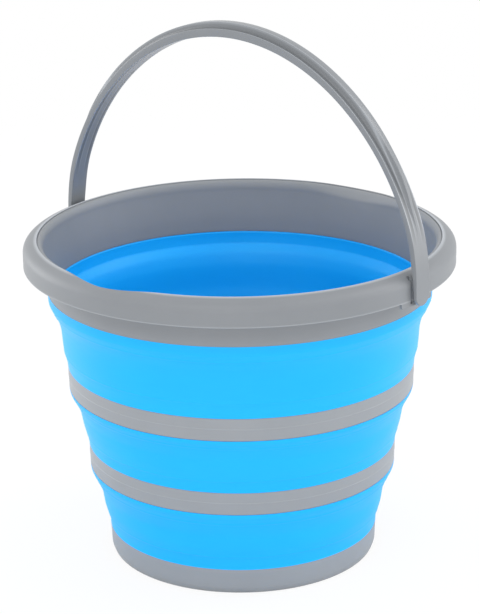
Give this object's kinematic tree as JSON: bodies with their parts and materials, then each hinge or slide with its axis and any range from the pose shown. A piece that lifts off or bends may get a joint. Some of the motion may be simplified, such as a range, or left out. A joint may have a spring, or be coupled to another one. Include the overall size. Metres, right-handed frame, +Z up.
{
  "type": "collapsible bucket",
  "caption": "Round bucket of hard hoops joined by soft walls that fold flat, with a skirted rim and a ribbed bail handle.",
  "frame": {"origin": "centre of the base on the ground", "axes": "+Z up along the bucket's axis, X along the handle's pivot axis, the handle upright and the spouts towards -Y and +Y"},
  "size_m": [0.3246, 0.316, 0.3982],
  "materials": {
    "grey_plastic": "satin grey",
    "blue_rubber": "satin bright blue"
  },
  "bodies": {
    "base": {"base": "grey_plastic", "lower_wall": "blue_rubber"},
    "lower_hoop": {"lower_hoop": "grey_plastic", "middle_wall": "blue_rubber"},
    "upper_hoop": {"upper_hoop": "grey_plastic", "upper_wall": "blue_rubber"},
    "rim": {"collar": "grey_plastic", "rim": "grey_plastic"},
    "handle": {"handle": "grey_plastic"}
  },
  "joints": [
    {"name": "lower_fold", "type": "slide", "parent": "base", "child": "lower_hoop", "axis": [0, 0, -1], "range_m": [0, 0.064], "deforming": ["lower_wall"]},
    {"name": "middle_fold", "type": "slide", "parent": "lower_hoop", "child": "upper_hoop", "axis": [0, 0, -1], "range_m": [0, 0.061], "deforming": ["middle_wall"]},
    {"name": "upper_fold", "type": "slide", "parent": "upper_hoop", "child": "rim", "axis": [0, 0, -1], "range_m": [0, 0.071], "deforming": ["upper_wall"]},
    {"name": "handle_swing", "type": "hinge", "parent": "rim", "child": "handle", "pos_m": [0, 0, 0.2265], "axis": [1, 0, 0], "range_deg": [-90, 90]}
  ]
}
